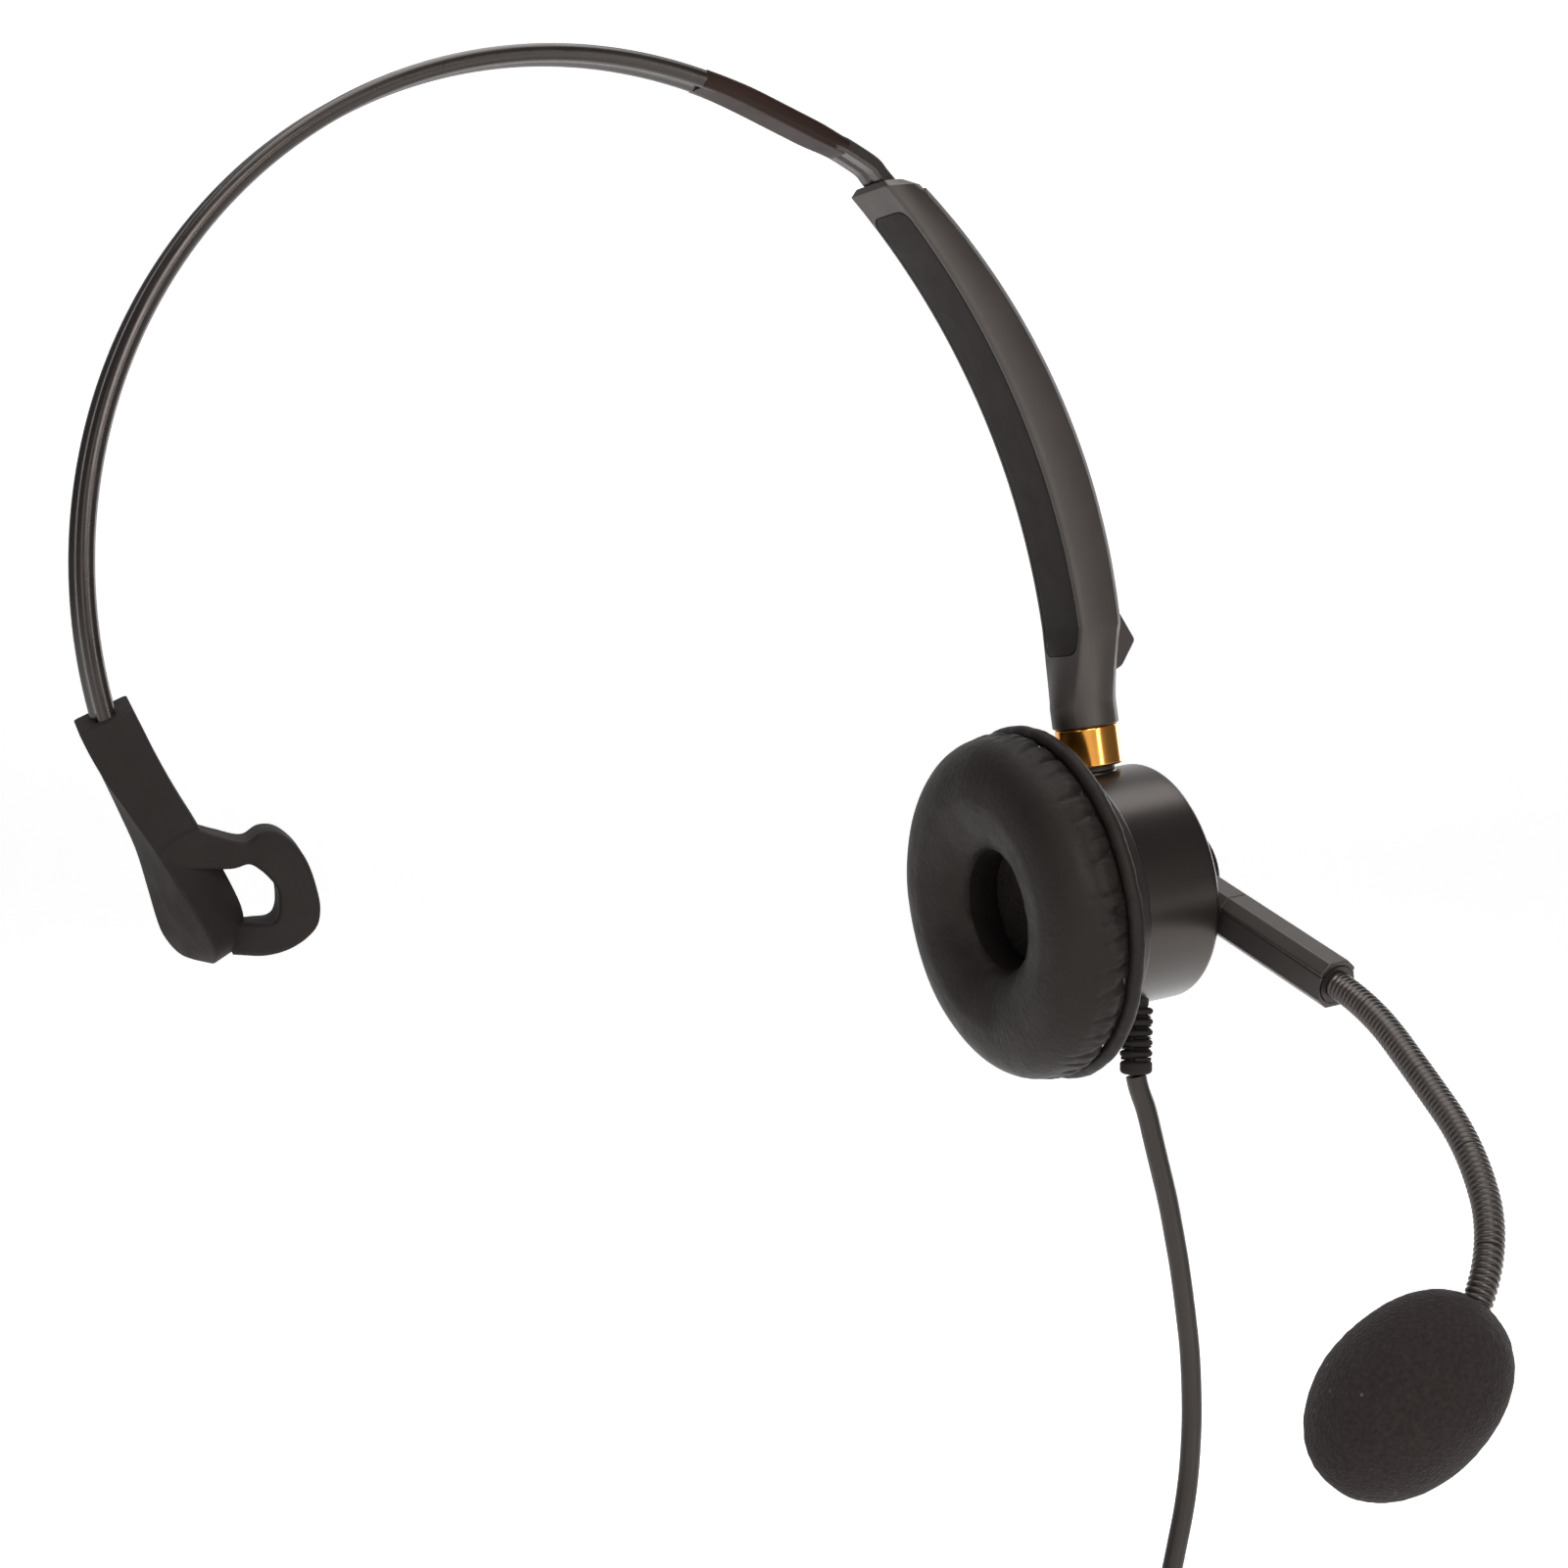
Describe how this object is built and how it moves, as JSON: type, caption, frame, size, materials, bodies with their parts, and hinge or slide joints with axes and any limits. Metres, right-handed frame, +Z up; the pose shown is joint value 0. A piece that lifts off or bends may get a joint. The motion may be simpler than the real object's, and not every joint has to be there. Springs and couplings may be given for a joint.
{
  "type": "office telephone headset",
  "caption": "Single-ear office headset with spring head band, sliding arm, swivelling cushioned ear cup, turning boom microphone and plugged cord.",
  "frame": {"origin": "middle of the head band's underside, where it rests on the crown of the head", "axes": "+Z up, +X towards the ear cup, -Y towards the wearer's front"},
  "size_m": [0.1908, 0.1194, 0.3265],
  "materials": {
    "satin_black": "satin",
    "moulded_black": "matte",
    "arm_plastic": "fine texture",
    "rail_black": "satin black coat",
    "spring_steel": "brushed",
    "steel": "satin",
    "screw_steel": "zinc plated",
    "soft_rubber": "matte",
    "inner_plastic": "matte",
    "orange_anodised": "anodised orange-gold",
    "washer_plastic": "smooth",
    "speaker_basket": "matte",
    "speaker_cone": "thin film",
    "black_cloth": "matte weave",
    "leatherette": "fine grain",
    "grey_foam": "open cell foam",
    "green_board": "solder mask",
    "neck_black": "ribbed matte",
    "brass_capsule": "satin",
    "black_foam": "open cell foam",
    "cord_black": "matte PVC",
    "plug_metal": "polished"
  },
  "bodies": {
    "band": {"band_cover": "satin_black", "band_spring": "spring_steel", "rail_sleeve": "moulded_black", "slide_rail": "rail_black", "rail_stop": "steel", "rail_stop_screw": "screw_steel", "temple_pad": "soft_rubber", "temple_insert": "inner_plastic", "temple_loop": "soft_rubber"},
    "arm": {"arm_housing": "arm_plastic", "arm_cover": "moulded_black", "detent_spring": "spring_steel", "swivel_collar": "orange_anodised"},
    "cup": {"swivel_shaft": "steel", "swivel_clip": "spring_steel", "swivel_washer": "washer_plastic", "cup_shell": "satin_black", "cup_baffle": "moulded_black", "cup_screws": "screw_steel", "speaker_frame": "speaker_basket", "speaker_magnet": "steel", "speaker_diaphragm": "speaker_cone", "speaker_cloth": "black_cloth", "cushion_plate": "moulded_black", "cushion_piping": "leatherette", "ear_cushion": "leatherette", "cushion_foam": "grey_foam", "terminal_board": "green_board", "board_screws": "screw_steel", "strain_relief": "soft_rubber", "relief_clamp": "steel", "boom_pivot": "steel", "boom_washer": "washer_plastic", "cord": "cord_black", "cord_coil": "cord_black", "cord_tie": "moulded_black", "cord_tail": "cord_black", "plug_body": "moulded_black", "plug_pin": "plug_metal"},
    "boom": {"boom_stem": "moulded_black", "boom_stem_cover": "moulded_black", "boom_hub_cap": "satin_black", "neck_ferrule": "steel", "gooseneck_1": "neck_black"},
    "neck_middle": {"gooseneck_2": "neck_black"},
    "neck_lower": {"gooseneck_3": "neck_black"},
    "microphone": {"gooseneck_4": "neck_black", "mic_holder": "inner_plastic", "mic_capsule": "brass_capsule", "foam_windscreen": "black_foam"}
  },
  "joints": [
    {"name": "arm_extend", "type": "hinge", "parent": "band", "child": "arm", "pos_m": [-0.038, 0, -0.0982], "axis": [0, 1, 0], "range_deg": [-1, 11.3]},
    {"name": "cup_swivel", "type": "hinge", "parent": "arm", "child": "cup", "pos_m": [0.0864, 0, -0.1186], "axis": [-0.1564, 0, 0.9877], "range_deg": [-90, 90]},
    {"name": "boom_rotate", "type": "hinge", "parent": "cup", "child": "boom", "pos_m": [0.0864, 0, -0.1186], "axis": [-0.9877, 0, -0.1564], "range_deg": [-30, 95]},
    {"name": "neck_bend_1", "type": "hinge", "parent": "boom", "child": "neck_middle", "pos_m": [0.10052, -0.05341, -0.13883], "axis": [0.8505, 0.2304, -0.4729], "range_deg": [-12, 12]},
    {"name": "neck_bend_2", "type": "hinge", "parent": "neck_middle", "child": "neck_lower", "pos_m": [0.09915, -0.06646, -0.14765], "axis": [0.8505, 0.2304, -0.4729], "range_deg": [-12, 12]},
    {"name": "neck_bend_3", "type": "hinge", "parent": "neck_lower", "child": "microphone", "pos_m": [0.09651, -0.078, -0.15802], "axis": [0.8505, 0.2304, -0.4729], "range_deg": [-12, 12]}
  ],
  "couplings": [
    {"joint": "neck_bend_2", "follows": "neck_bend_1", "ratio": 1},
    {"joint": "neck_bend_3", "follows": "neck_bend_1", "ratio": 1}
  ]
}
